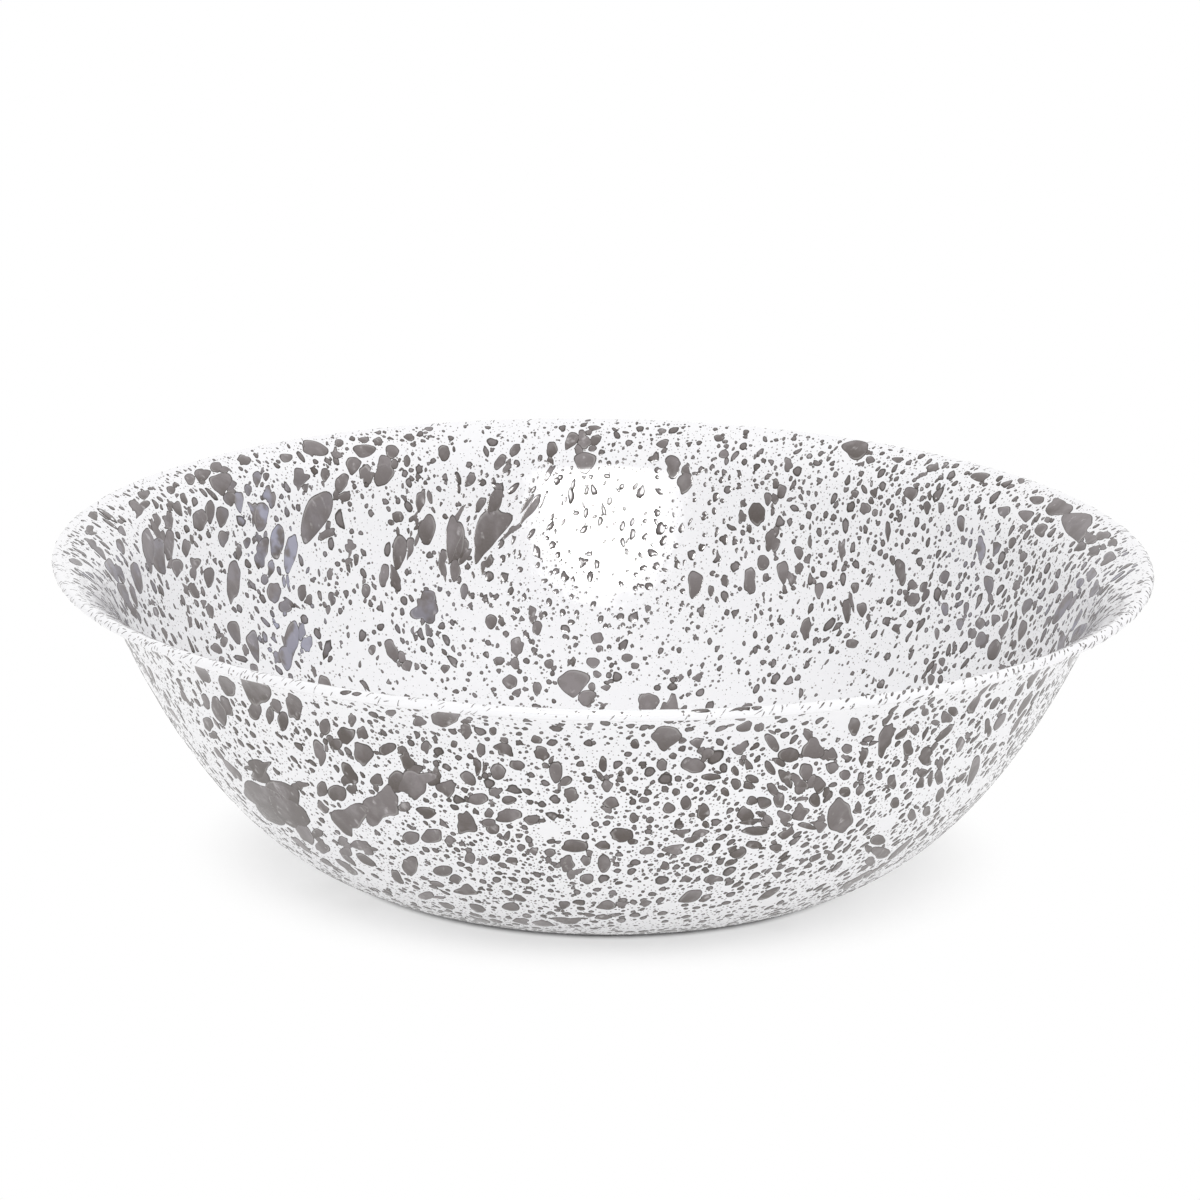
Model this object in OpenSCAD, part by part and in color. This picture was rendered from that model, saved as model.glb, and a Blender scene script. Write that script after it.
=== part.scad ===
// Round basin bowl of enamelled steel with a speckled finish.
// One steel sheet is pressed to shape and its edge is rolled over outwards. Both faces are
// fired with a dark ground coat and a white cover coat, and grey drops of glass are fused on top.
// The basin stands on z = 0, and its centre line is the Z axis.

/* [Basin] */
// Diameter over the rolled rim
basin_d = 400; // [340:5:460]
// Height from the table to the top of the white glass on the rim
basin_h = 117; // [96:1:140]
// Diameter of the base, out to where the wall starts to lift
base_d = 160; // [130:2:190]
// How far the wall's curve leans along the base before it climbs
base_ease = 50; // [30:1:60]
// How far the wall's curve runs nearly straight below the flare
wall_ease = 40; // [25:1:60]

/* [Base] */
// Width of the flat ring that the basin stands on
stand_w = 10; // [5:1:16]
// Width of the step between that ring and the raised panel in the middle
panel_step = 8; // [5:1:14]
// How far the panel stands above the table
panel_rise = 1; // [0.6:0.1:2]

/* [Rim] */
// Diameter of the rolled bead over its glass
bead_d = 4; // [3.4:0.1:6]
// Radius of the outward flare below the bead
flare_r = 36; // [22:1:48]
// Steepness of the wall where the flare starts, in degrees
wall_slope = 67; // [60:1:72]
// Steepness of the sheet where the bead starts, in degrees
lip_slope = 22; // [12:1:34]
// Gap between the rolled edge and the wall that it turns back to
roll_gap = 0.4; // [0.2:0.05:0.8]

/* [Sheet and glass] */
// Thickness of the pressed steel sheet
steel_t = 0.6; // [0.4:0.05:0.8]
// Thickness of the dark ground coat on each face
ground_t = 0.12; // [0.08:0.02:0.2]
// Thickness of the white cover coat on each face
cover_t = 0.2; // [0.1:0.02:0.3]

/* [Speckle] */
// Height of a fused drop above the white glass
drop_rise = 0.2; // [0.1:0.05:0.4]
// Distance from one large drop to the next
drop_pitch = 34; // [30:1:50]
// Width of the smallest of the large drops
drop_least = 7; // [4:0.5:9]
// Width of the largest drops
drop_most = 18; // [12:0.5:20]
// How far a drop may lie off its even place
drop_drift = 4; // [0:0.5:6]
// Width of the fine drops between the large ones
fine_d = 4; // [2.5:0.5:6]
// Distance from one streak on the rim to the next
rim_pitch = 34; // [20:1:60]
// Length of the longest streak, along the rim
rim_streak = 7; // [4:0.5:10]

/* [Hidden] */

basin_r = basin_d / 2;
base_r = base_d / 2;
bead_r = bead_d / 2;
coat_t = ground_t + cover_t;
wall_t = steel_t + 2 * coat_t;
panel_r = base_r - stand_w - panel_step;

// Steps that each stretch of the outline, and a full turn round the centre line, is drawn in
step_steps = 8;
wall_steps = 22;
flare_steps = 9;
curl_steps = 20;
round_steps = 180;

// Headings are in degrees above level, travelling from the middle of the base to the rim.
// The sheet's inner side is on the left of that travel.
function along(heading) = [cos(heading), sin(heading)];
function across(heading) = [-sin(heading), cos(heading)];

// The bead is a circle. Its middle sits a bead's radius in from the rim and down from the top.
bead_mid = [basin_r - bead_r, basin_h - bead_r];
// Radius of the outermost face of the outer coats where the sheet turns into the bead
root_r = bead_r - wall_t;
// The roll goes round until its edge has come back to the wall, less the gap
curl_turn = 360 - acos((root_r - roll_gap) / bead_r);
// Middle of the flare's arc, and the point where the wall's curve ends and the flare starts
flare_mid = bead_mid + (root_r - flare_r) * across(lip_slope);
flare_foot = flare_mid + flare_r * across(wall_slope);

// The outline of the outer face is a list of places. Each is a point of radius and height, and
// the heading there. The panel and its step come first, as half a cosine wave.
panel_run = concat(
  [[[0, panel_rise], 0]],
  [for (i = [0:step_steps])
    let (turn = 180 * i / step_steps)
    [[panel_r + panel_step * i / step_steps, panel_rise * (1 + cos(turn)) / 2],
     -atan(panel_rise * PI / 2 * sin(turn) / panel_step)]]
);

// The wall is one cubic curve from the level base to the foot of the flare
wall_knots = [
  [base_r, 0],
  [base_r + base_ease, 0],
  flare_foot - wall_ease * along(wall_slope),
  flare_foot
];
function curve_point(k, t) =
  pow(1 - t, 3) * k[0] + 3 * t * pow(1 - t, 2) * k[1] + 3 * t * t * (1 - t) * k[2] + pow(t, 3) * k[3];
function curve_travel(k, t) =
  pow(1 - t, 2) * (k[1] - k[0]) + 2 * t * (1 - t) * (k[2] - k[1]) + t * t * (k[3] - k[2]);
wall_run = [for (i = [0:wall_steps])
  let (t = i / wall_steps, way = curve_travel(wall_knots, t))
  [curve_point(wall_knots, t), atan2(way[1], way[0])]];

flare_run = [for (i = [1:flare_steps])
  let (heading = wall_slope + (lip_slope - wall_slope) * i / flare_steps)
  [flare_mid + flare_r * across(heading), heading]];

curl_run = [for (i = [1:curl_steps])
  let (heading = lip_slope - curl_turn * i / curl_steps)
  [bead_mid + root_r * across(heading), heading]];

sheet_run = concat(panel_run, wall_run, flare_run);

// Points at one depth behind the outer face, and a revolved layer between two depths
function face(run, depth) = [for (p = run) p[0] + depth * across(p[1])];
function backwards(v) = [for (i = [len(v) - 1:-1:0]) v[i]];
module layer(run, low, high) {
  rotate_extrude($fn = round_steps)
    polygon(concat(face(run, low), backwards(face(run, high))));
}

module steel_shell() {
  color("#7c8084") layer(concat(sheet_run, curl_run), coat_t, coat_t + steel_t);
}

module ground_coat_inside() {
  color("#2a2d33") layer(concat(sheet_run, curl_run), coat_t + steel_t, wall_t - cover_t);
}

module ground_coat_outside() {
  color("#2a2d33") layer(sheet_run, cover_t, coat_t);
}

// Over the bead the inner coats are the outermost, and they end with the sheet at its rolled edge
module white_coat_inside() {
  color("#f2f1f5") layer(concat(sheet_run, curl_run), wall_t - cover_t, wall_t);
}

module white_coat_outside() {
  color("#f2f1f5") layer(sheet_run, 0, cover_t);
}

// A drop's outline is a round with waves of two and three to the turn, as shares of its size
two_wave_share = 0.12;
three_wave_share = 0.08;
function drop_outline(length, width, lean, points, seed) =
  let (phase = rands(0, 360, 2, seed))
  [for (i = [0:points - 1])
    let (
      a = 360 * i / points,
      swell = 1 + two_wave_share * sin(2 * a + phase[0]) + three_wave_share * sin(3 * a + phase[1]),
      u = length / 2 * swell * cos(a),
      v = width / 2 * swell * sin(a)
    )
    [u * cos(lean) - v * sin(lean), u * sin(lean) + v * cos(lean)]];

// A column square to the face at one place, which cuts one drop out of the layer of drops
module drop_column(place, azimuth, outline, reach) {
  rotate([0, 0, azimuth])
    translate([place[0][0], 0, place[0][1]])
      rotate([0, -place[1], 0])
        linear_extrude(height = 2 * reach, center = true)
          polygon(outline);
}

// Distance travelled along a run of points, and the place at a given distance
function travel(points) =
  [for (i = 0, s = 0; i < len(points);
        i = i + 1, s = i < len(points) ? s + norm(points[i] - points[i - 1]) : s) s];
function length_of(run, depth) = let (way = travel(face(run, depth))) way[len(way) - 1];
function place_at(run, depth, s) =
  let (points = face(run, depth), way = travel(points), last = len(run) - 1)
  [[lookup(s, [for (i = [0:last]) [way[i], points[i][0]]]),
    lookup(s, [for (i = [0:last]) [way[i], points[i][1]]])],
   lookup(s, [for (i = [0:last]) [way[i], run[i][1]]])];

// One ring of drops round a face. Each is longer than wide by its own stretch, leans its own
// way and lies a little off its even place.
column_reach = drop_rise + bead_r;
stretch_share = 0.5;
module drop_ring(run, depth, s, pitch, least, most, points, seed) {
  radius = place_at(run, depth, s)[0][0];
  count = max(3, floor(2 * PI * radius / pitch));
  ring_turn = rands(0, 1, 1, seed)[0];
  for (k = [0:count - 1]) {
    draw = rands(0, 1, 5, seed + k);
    width = least + (most - least) * draw[0];
    drift = drop_drift * (2 * draw[1] - 1);
    azimuth = 360 * (k + ring_turn) / count + drop_drift * (2 * draw[2] - 1) * 180 / (PI * radius);
    drop_column(place_at(run, depth, s + drift), azimuth,
      drop_outline(width * (1 + stretch_share * draw[3]), width, 180 * draw[4], points, seed + k),
      column_reach);
  }
}

// Rings of large drops up a face, with rings of fine drops half way between them
large_points = 11;
fine_points = 8;
ring_seed = 101;
module drop_rings(run, depth, seed) {
  whole = length_of(run, depth);
  rings = max(1, floor(whole / drop_pitch));
  for (ring = [0:rings - 1])
    drop_ring(run, depth, whole * (ring + 1 / 2) / rings, drop_pitch, drop_least, drop_most,
      large_points, seed + ring_seed * ring);
  for (ring = [1:1:rings - 1])
    drop_ring(run, depth, whole * ring / rings, 2 * drop_pitch, fine_d / 2, fine_d,
      fine_points, seed - ring_seed * ring);
}

inside_seed = 700;
outside_seed = 4700;
under_seed = 8700;
rim_seed = 9700;

module splatter_inside() {
  color("#756f6a") intersection() {
    layer(sheet_run, wall_t, wall_t + drop_rise);
    drop_rings(sheet_run, wall_t, inside_seed);
  }
}

// Outside, the drops keep off the ring that stands on the table
lift_share = 3;
raised_wall = [for (p = concat(wall_run, flare_run)) if (p[0][1] >= lift_share * drop_rise) p];
panel_top = [panel_run[0], panel_run[1]];
module splatter_outside() {
  color("#756f6a") {
    intersection() {
      layer(raised_wall, -drop_rise, 0);
      drop_rings(raised_wall, 0, outside_seed);
    }
    intersection() {
      layer(panel_top, -drop_rise, 0);
      drop_rings(panel_top, 0, under_seed);
    }
  }
}

// The streaks lie over the top of the bead, where drops ran across it before firing
bead_cover_turn = 120;
bead_run = [for (i = [0:curl_steps])
  if (curl_turn * i / curl_steps <= bead_cover_turn)
  let (heading = lip_slope - curl_turn * i / curl_steps)
  [bead_mid + root_r * across(heading), heading]];
streak_turn = 34;
streak_width_share = 0.85;
streak_points = 10;
streak_reach_share = 0.6;
module splatter_rim() {
  count = floor(PI * basin_d / rim_pitch);
  color("#756f6a") intersection() {
    layer(bead_run, wall_t, wall_t + drop_rise);
    for (k = [0:count - 1]) {
      draw = rands(0, 1, 4, rim_seed + k);
      heading = lip_slope - streak_turn * (1 / 2 + draw[0]);
      place = [bead_mid + bead_r * across(heading), heading];
      width = bead_r * streak_width_share * (1 + draw[2] / 2);
      drop_column(place, 360 * (k + draw[1] / 2) / count,
        drop_outline(width, rim_streak * (1 + draw[3]) / 2, 0, streak_points, rim_seed + k),
        bead_r * streak_reach_share);
    }
  }
}

steel_shell();
ground_coat_inside();
ground_coat_outside();
white_coat_inside();
white_coat_outside();
splatter_inside();
splatter_outside();
splatter_rim();
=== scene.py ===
import math

import bpy
import numpy as np
from mathutils import Matrix


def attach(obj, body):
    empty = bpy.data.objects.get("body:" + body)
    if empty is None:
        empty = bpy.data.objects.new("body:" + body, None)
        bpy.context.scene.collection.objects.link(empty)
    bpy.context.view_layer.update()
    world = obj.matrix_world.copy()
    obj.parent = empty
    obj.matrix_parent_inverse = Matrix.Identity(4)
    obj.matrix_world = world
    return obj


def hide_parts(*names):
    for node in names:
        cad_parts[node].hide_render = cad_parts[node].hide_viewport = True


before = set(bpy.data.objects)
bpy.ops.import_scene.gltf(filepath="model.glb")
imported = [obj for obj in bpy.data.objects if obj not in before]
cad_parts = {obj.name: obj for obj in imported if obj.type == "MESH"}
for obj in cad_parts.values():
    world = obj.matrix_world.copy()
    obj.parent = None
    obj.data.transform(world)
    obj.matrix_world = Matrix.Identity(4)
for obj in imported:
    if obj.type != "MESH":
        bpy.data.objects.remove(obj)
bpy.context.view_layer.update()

# Where the basin is looked at from: a camera on a stand, a metre and a half in front and a
# little above the rim. It is turned a touch, so that the basin's right end sits lower in view.
mm = 0.001
aim = np.array([-0.88, 0.0, 96.27]) * mm
camera_distance = 1500 * mm
camera_elevation = math.radians(16.058)
camera_roll = math.radians(0.944)
focal_px = 4088.2
photo_px = 1200
sensor_width_mm = 36.0

forward = np.array([0.0, math.cos(camera_elevation), -math.sin(camera_elevation)])
level_right = np.array([1.0, 0.0, 0.0])
level_up = np.cross(level_right, forward)
camera_right = math.cos(camera_roll) * level_right + math.sin(camera_roll) * level_up
camera_up = math.cos(camera_roll) * level_up - math.sin(camera_roll) * level_right
camera_place = aim - camera_distance * forward

camera_data = bpy.data.cameras.new("camera")
camera_data.sensor_fit = "HORIZONTAL"
camera_data.sensor_width = sensor_width_mm
camera_data.lens = focal_px / photo_px * sensor_width_mm
camera_data.clip_start = 0.05
camera_data.clip_end = 50
camera = bpy.data.objects.new("camera", camera_data)
bpy.context.scene.collection.objects.link(camera)
camera_axes = np.column_stack([camera_right, camera_up, -forward, camera_place])
camera.matrix_world = Matrix(np.vstack([camera_axes, [0, 0, 0, 1]]).tolist())
bpy.context.scene.camera = camera


def photo_pixel(points):
    """The photograph's pixel for points (n, 3): how far each is to the right of the camera's
    line of sight and below it, divided by how far ahead it is, times the focal length."""
    away = points - camera_place
    ahead = away @ forward
    across_px = photo_px / 2 + focal_px * (away @ camera_right) / ahead
    down_px = photo_px / 2 - focal_px * (away @ camera_up) / ahead
    return across_px, down_px


# The sheet: cold-rolled steel 0.6 mm thick, pressed to a flat base with a raised panel, a
# curved wall and a flared lip, and rolled over outwards at the edge. It is one pressing, and
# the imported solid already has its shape, so it only gets its metal here.
basin_d = 400 * mm
basin_h = 117 * mm
base_d = 160 * mm
base_ease = 50 * mm
wall_ease = 40 * mm
stand_w = 10 * mm
panel_step = 8 * mm
panel_rise = 1 * mm
bead_d = 4 * mm
flare_r = 36 * mm
wall_slope = math.radians(67)
lip_slope = math.radians(22)
roll_gap = 0.4 * mm
steel_t = 0.6 * mm
ground_t = 0.12 * mm
cover_t = 0.2 * mm
wall_t = steel_t + 2 * (ground_t + cover_t)
root_r = bead_d / 2 - wall_t
curl_turn = 2 * math.pi - math.acos((root_r - roll_gap) / (bead_d / 2))
# How many parts each flat run, the wall, the flare and the roll are cut into at least
flat_parts, wall_parts, flare_parts, roll_parts = 6, 30, 10, 24


def across(heading):
    """Unit step to the inner side of the sheet for a heading of travel, as radius and height."""
    return np.stack([-np.sin(heading), np.cos(heading)], axis=-1)


def along(heading):
    """Unit step of travel for a heading, as radius and height."""
    return np.stack([np.cos(heading), np.sin(heading)], axis=-1)


def sheet_places(fine):
    """Points of radius and height down the sheet's outer face, with the heading at each: half a
    cosine wave for the panel's step, one cubic curve for the wall, an arc for the flare and an
    arc for the roll. Each run has its number of parts times fine. Returns points, headings and
    where the flare and the roll start."""
    share = np.linspace(0, 1, flat_parts * fine + 1)
    panel_r = base_d / 2 - stand_w - panel_step
    panel = np.stack([panel_r * share, np.full_like(share, panel_rise)], axis=-1)
    turn = math.pi * share
    step = np.stack([panel_r + panel_step * share, panel_rise * (1 + np.cos(turn)) / 2], axis=-1)
    step_heading = -np.arctan(panel_rise * math.pi / 2 * np.sin(turn) / panel_step)
    ring = np.stack([base_d / 2 + stand_w * (share - 1), np.zeros_like(share)], axis=-1)
    bead_mid = np.array([(basin_d - bead_d) / 2, basin_h - bead_d / 2])
    flare_mid = bead_mid + (root_r - flare_r) * across(lip_slope)
    flare_foot = flare_mid + flare_r * across(wall_slope)
    knots = np.array([[base_d / 2, 0], [base_d / 2 + base_ease, 0],
                      flare_foot - wall_ease * along(wall_slope), flare_foot])
    t = np.linspace(0, 1, wall_parts * fine + 1)[:, None]
    wall = ((1 - t) ** 3 * knots[0] + 3 * t * (1 - t) ** 2 * knots[1]
            + 3 * t ** 2 * (1 - t) * knots[2] + t ** 3 * knots[3])
    way = ((1 - t) ** 2 * (knots[1] - knots[0]) + 2 * t * (1 - t) * (knots[2] - knots[1])
           + t ** 2 * (knots[3] - knots[2]))
    flare_share = np.linspace(0, 1, flare_parts * fine + 1)
    flare_heading = wall_slope + (lip_slope - wall_slope) * flare_share
    flare = flare_mid + flare_r * across(flare_heading)
    roll_heading = lip_slope - curl_turn * np.linspace(0, 1, roll_parts * fine + 1)
    roll = bead_mid + root_r * across(roll_heading)
    runs = [(panel, np.zeros_like(share)), (step, step_heading), (ring, np.zeros_like(share)),
            (wall, np.arctan2(way[:, 1], way[:, 0])), (flare, flare_heading), (roll, roll_heading)]
    points = [runs[0][0]] + [run[1:] for run, _ in runs[1:]]
    headings = [runs[0][1]] + [heading[1:] for _, heading in runs[1:]]
    counts = np.cumsum([len(run) for run in points])
    return np.concatenate(points), np.concatenate(headings), counts[3], counts[4]


class Socket:
    """A number that changes over a surface: a shader socket on which arithmetic adds Math nodes."""

    def __init__(self, tree, socket):
        self.tree, self.socket = tree, socket

    def math(self, operation, *terms):
        node = self.tree.nodes.new("ShaderNodeMath")
        node.operation = operation
        for place, term in zip(node.inputs, terms):
            if isinstance(term, Socket):
                self.tree.links.new(term.socket, place)
            else:
                place.default_value = term
        return Socket(self.tree, node.outputs[0])

    def __add__(self, other):
        return self.math("ADD", self, other)

    __radd__ = __add__

    def __sub__(self, other):
        return self.math("SUBTRACT", self, other)

    def __rsub__(self, other):
        return self.math("SUBTRACT", other, self)

    def __mul__(self, other):
        return self.math("MULTIPLY", self, other)

    __rmul__ = __mul__

    def __lt__(self, other):
        return self.math("LESS_THAN", self, other)

    def __gt__(self, other):
        return self.math("GREATER_THAN", self, other)


class Finish:
    """One material in the making, or the air of the studio: its nodes, and what they feed."""

    def __init__(self, name, kind=bpy.data.materials):
        self.made = kind.new(name)
        self.made.use_nodes = True
        self.tree = self.made.node_tree
        self.tree.nodes.clear()
        self.place = self.node("ShaderNodeTexCoord").outputs["Object"]

    def node(self, kind, settings=None, inputs=None):
        """A node of a kind, with its settings made first and then its sockets filled or linked."""
        node = self.tree.nodes.new(kind)
        for name, value in (settings or {}).items():
            setattr(node, name, value)
        for name, value in (inputs or {}).items():
            if isinstance(value, Socket):
                value = value.socket
            if isinstance(value, bpy.types.NodeSocket):
                self.tree.links.new(value, node.inputs[name])
            else:
                node.inputs[name].default_value = value
        return node

    def value(self, node, output):
        """A node's output as a number that arithmetic works on."""
        return Socket(self.tree, node.outputs[output])

    def noise(self, size, detail=2.0, place=None):
        """Smooth noise from 0 to 1 with lumps of one size in metres."""
        node = self.node("ShaderNodeTexNoise", {"noise_dimensions": "3D"},
                         {"Vector": place or self.place, "Scale": 1 / size, "Detail": detail})
        return self.value(node, "Fac")

    def steps(self, value, low, high):
        """A value carried smoothly from 0 at low to 1 at high."""
        node = self.node("ShaderNodeMapRange", {"interpolation_type": "SMOOTHSTEP"},
                         {"Value": value, "From Min": low, "From Max": high})
        return self.value(node, "Result")

    def mixed(self, share, first, second):
        """Two colours mixed by a share."""
        return self.node("ShaderNodeMix", {"data_type": "RGBA"},
                         {0: share, 6: first, 7: second}).outputs[2]

    def surface(self, fixed, varying):
        """The surface shader. fixed holds what is the same all over, varying what changes."""
        shader = self.node("ShaderNodeBsdfPrincipled", None, {**fixed, **varying})
        self.node("ShaderNodeOutputMaterial", None, {"Surface": shader.outputs[0]})


def dress(piece, finish):
    """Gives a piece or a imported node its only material."""
    piece.data.materials.clear()
    piece.data.materials.append(finish.made)


steel = Finish("steel")
stretched = steel.node("ShaderNodeMapping", None, {"Vector": steel.place, "Scale": (1, 1, 14)})
steel_grain = steel.noise(3 * mm, 4, stretched.outputs[0])
steel_bump = steel.node("ShaderNodeBump", None,
                        {"Strength": 0.25, "Distance": 0.02 * mm, "Height": steel_grain})
steel_colour = steel.mixed(steel_grain, (0.42, 0.43, 0.44, 1), (0.54, 0.55, 0.56, 1))
steel.surface({"Metallic": 1.0},
              {"Base Color": steel_colour, "Roughness": 0.28 + 0.18 * steel_grain,
               "Normal": steel_bump.outputs[0]})
dress(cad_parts["steel_shell"], steel)

# The ground coat: a thin dark glass fired straight onto both faces of the steel, which the
# white then covers. It only shows where the white ends, inside the roll of the edge.
ground = Finish("ground_glass")
ground_cloud = ground.noise(5 * mm, 3)
ground_colour = ground.mixed(ground_cloud, (0.018, 0.02, 0.026, 1), (0.04, 0.044, 0.056, 1))
ground_bump = ground.node("ShaderNodeBump", None,
                          {"Strength": 0.2, "Distance": 0.05 * mm, "Height": ground_cloud})
ground.surface({"Specular IOR Level": 0.5},
               {"Base Color": ground_colour, "Roughness": 0.1 + 0.12 * ground_cloud,
                "Normal": ground_bump.outputs[0]})
for node_name in ("ground_coat_inside", "ground_coat_outside"):
    dress(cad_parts[node_name], ground)

# The white cover coat: opaque white glass sprayed over the ground coat and fired until it
# flows. The inner coat runs on over the rolled bead and the outer one stops under it. Its
# surface is glossy with a faint ripple, and dust-fine grey specks lie all over it.
bead_trim = 0.15 * mm
turns = 384
white_tone = (0.84, 0.838, 0.85, 1)
white_shade = (0.815, 0.812, 0.83, 1)
speck_tone = (0.2, 0.18, 0.17, 1)


class Face:
    """One face of the glass from the centre line to its end: distance travelled, radius, height
    and heading, as columns. side is 1 where the face looks into the hollow and -1 outside."""

    def __init__(self, places, headings, depth, side):
        self.radius, self.height = (places + np.reshape(depth, (-1, 1)) * across(headings)).T
        reach = np.hypot(np.diff(self.radius), np.diff(self.height))
        self.travel = np.concatenate([[0], np.cumsum(reach)])
        self.heading = headings
        self.side = side

    def at(self, travel):
        """Radius, height and heading at distances travelled."""
        return (np.interp(travel, self.travel, self.radius),
                np.interp(travel, self.travel, self.height),
                np.interp(travel, self.travel, self.heading))

    def point(self, travel, azimuth, lift):
        """Points lifted off the face by a height along its outward side."""
        radius, height, heading = self.at(travel)
        radius = radius - self.side * lift * np.sin(heading)
        height = height + self.side * lift * np.cos(heading)
        return np.stack([radius * np.cos(azimuth), radius * np.sin(azimuth), height], axis=-1)


def solid_of(name, points, triangles, marks=None):
    """A smooth mesh object from points, triangles and numbers kept at its points."""
    mesh = bpy.data.meshes.new(name)
    mesh.vertices.add(len(points))
    mesh.vertices.foreach_set("co", points.astype(np.float32).ravel())
    mesh.loops.add(triangles.size)
    mesh.loops.foreach_set("vertex_index", triangles.astype(np.int32).ravel())
    mesh.polygons.add(len(triangles))
    mesh.polygons.foreach_set("loop_start", np.arange(0, triangles.size, 3, dtype=np.int32))
    mesh.polygons.foreach_set("use_smooth", np.ones(len(triangles), dtype=bool))
    for mark, values in (marks or {}).items():
        layer = mesh.attributes.new(mark, "FLOAT", "POINT")
        layer.data.foreach_set("value", values.astype(np.float32).ravel())
    mesh.update(calc_edges=True)
    piece = bpy.data.objects.new(name, mesh)
    bpy.context.scene.collection.objects.link(piece)
    return piece


def turned(name, radius, height):
    """A closed outline turned about the centre line: point (i, j) is outline point i at azimuth
    j full turns over turns. The first and last outline points are poles on the centre line."""
    azimuth = 2 * math.pi * np.arange(turns) / turns
    rows = len(radius) - 2
    body = np.stack([np.outer(radius[1:-1], np.cos(azimuth)),
                     np.outer(radius[1:-1], np.sin(azimuth)),
                     np.repeat(height[1:-1, None], turns, axis=1)], axis=-1).reshape(-1, 3)
    poles = np.array([[0, 0, height[0]], [0, 0, height[-1]]])
    this = np.arange(turns)
    following = np.roll(this, -1)
    row = turns * np.arange(rows - 1)[:, None]
    a, b = row + this, row + following
    c, d = b + turns, a + turns
    sides = np.concatenate([np.stack([a, c, b], -1).reshape(-1, 3),
                            np.stack([a, d, c], -1).reshape(-1, 3)])
    last = turns * (rows - 1)
    first_pole, last_pole = np.full(turns, turns * rows), np.full(turns, turns * rows + 1)
    caps = np.concatenate([np.stack([first_pole, this, following], -1),
                           np.stack([last_pole, last + following, last + this], -1)])
    return solid_of(name, np.concatenate([body, poles]), np.concatenate([sides, caps]))


coarse_places, coarse_headings, coarse_flare, coarse_roll = sheet_places(1)
fineness = 12
fine_places, fine_headings, fine_flare, fine_roll = sheet_places(fineness)


def trim(count, flare_start, roll_start):
    """How far the inner face is held back: nothing down the wall, growing evenly over the flare
    to its full amount on the bead."""
    return bead_trim * np.clip((np.arange(count) - flare_start) / (roll_start - flare_start), 0, 1)


inside = Face(fine_places, fine_headings,
              wall_t - trim(len(fine_places), fine_flare, fine_roll), 1)
outside = Face(fine_places[:fine_roll], fine_headings[:fine_roll], 0.0, -1)

front = Face(coarse_places, coarse_headings,
             wall_t - trim(len(coarse_places), coarse_flare, coarse_roll), 1)
back = Face(coarse_places, coarse_headings, wall_t - cover_t, 1)
white_inside = turned("white_inside", np.concatenate([back.radius, front.radius[::-1]]),
                      np.concatenate([back.height, front.height[::-1]]))
front = Face(coarse_places[:coarse_roll], coarse_headings[:coarse_roll], 0.0, -1)
back = Face(coarse_places[:coarse_roll], coarse_headings[:coarse_roll], cover_t, -1)
white_outside = turned("white_outside", np.concatenate([front.radius, back.radius[::-1]]),
                       np.concatenate([front.height, back.height[::-1]]))


def ripple(finish):
    """The faint ripple of fired glass: lumps of 9 mm and 3 mm, as a bump."""
    lumps = finish.noise(9 * mm, 1) + 0.4 * finish.noise(2.8 * mm, 1)
    return finish.node("ShaderNodeBump", None,
                       {"Strength": 1.0, "Distance": 0.12 * mm, "Height": lumps}).outputs[0]


white = Finish("white_glass")
cloud = white.noise(28 * mm, 2)
speck_cells = white.node("ShaderNodeTexVoronoi", {"feature": "F1"},
                         {"Vector": white.place, "Scale": 1 / (1.5 * mm), "Randomness": 1.0})
speck_draw = white.node("ShaderNodeSeparateColor", None, {"Color": speck_cells.outputs["Color"]})
speck_size = 0.12 + 0.2 * white.value(speck_draw, "Red")
speck_crowd = white.noise(16 * mm, 1)
speck_there = white.value(speck_draw, "Green") < 0.08 + 0.34 * speck_crowd
speck = speck_there * (1 - white.steps(white.value(speck_cells, "Distance") - speck_size,
                                       -0.02, 0.035))
white_colour = white.mixed(0.9 * speck, white.mixed(cloud, white_tone, white_shade), speck_tone)
white.surface({"Specular IOR Level": 0.5},
              {"Base Color": white_colour, "Roughness": 0.05 + 0.06 * cloud,
               "Normal": ripple(white)})
for piece, node_name in ((white_inside, "white_coat_inside"),
                         (white_outside, "white_coat_outside")):
    dress(piece, white)
    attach(piece, "root")
    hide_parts(node_name)

# The splatter: drops of grey glass slip flicked over the dry white from a brush and fused into
# it. Each stands a little proud, dark round its edge, partly in its own colour and partly in
# painted shade of its steep edge, and most keep a hair of white between them. The larger ones in
# view lie where they do on the real one.
cell = 0.3 * mm
drop_rise = 0.07 * mm
drop_sunk = 0.06 * mm
# How many waves go round a drop, and how high each is as a share of the drop's radius
waves = np.arange(1, 10)
wave_shares = np.array([0.0, 0.1, 0.085, 0.06, 0.045, 0.034, 0.026, 0.02, 0.016])


class Drops:
    """A batch of drops, as columns. Each has a place (travel up the face and azimuth), a
    two-by-two stretch that carries its round shape to metres up the face and round it, its
    taper, its bend, the height and turn of its waves, its rise as a share of the usual one, its
    tone, and the strength of a painted blue reflection on it."""

    columns = ("travel", "azimuth", "stretch", "taper", "bend", "swell", "phase", "rise", "tone",
               "blue")

    def __init__(self, **columns):
        for name in self.columns:
            setattr(self, name, columns[name])

    def __len__(self):
        return len(self.travel)

    def only(self, which):
        return Drops(**{name: getattr(self, name)[which] for name in self.columns})

    def size(self):
        """Mean radius of each drop."""
        return np.sqrt(np.abs(np.linalg.det(self.stretch)))

    @staticmethod
    def joined(batches):
        return Drops(**{name: np.concatenate([getattr(batch, name) for batch in batches])
                        for name in Drops.columns})


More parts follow.
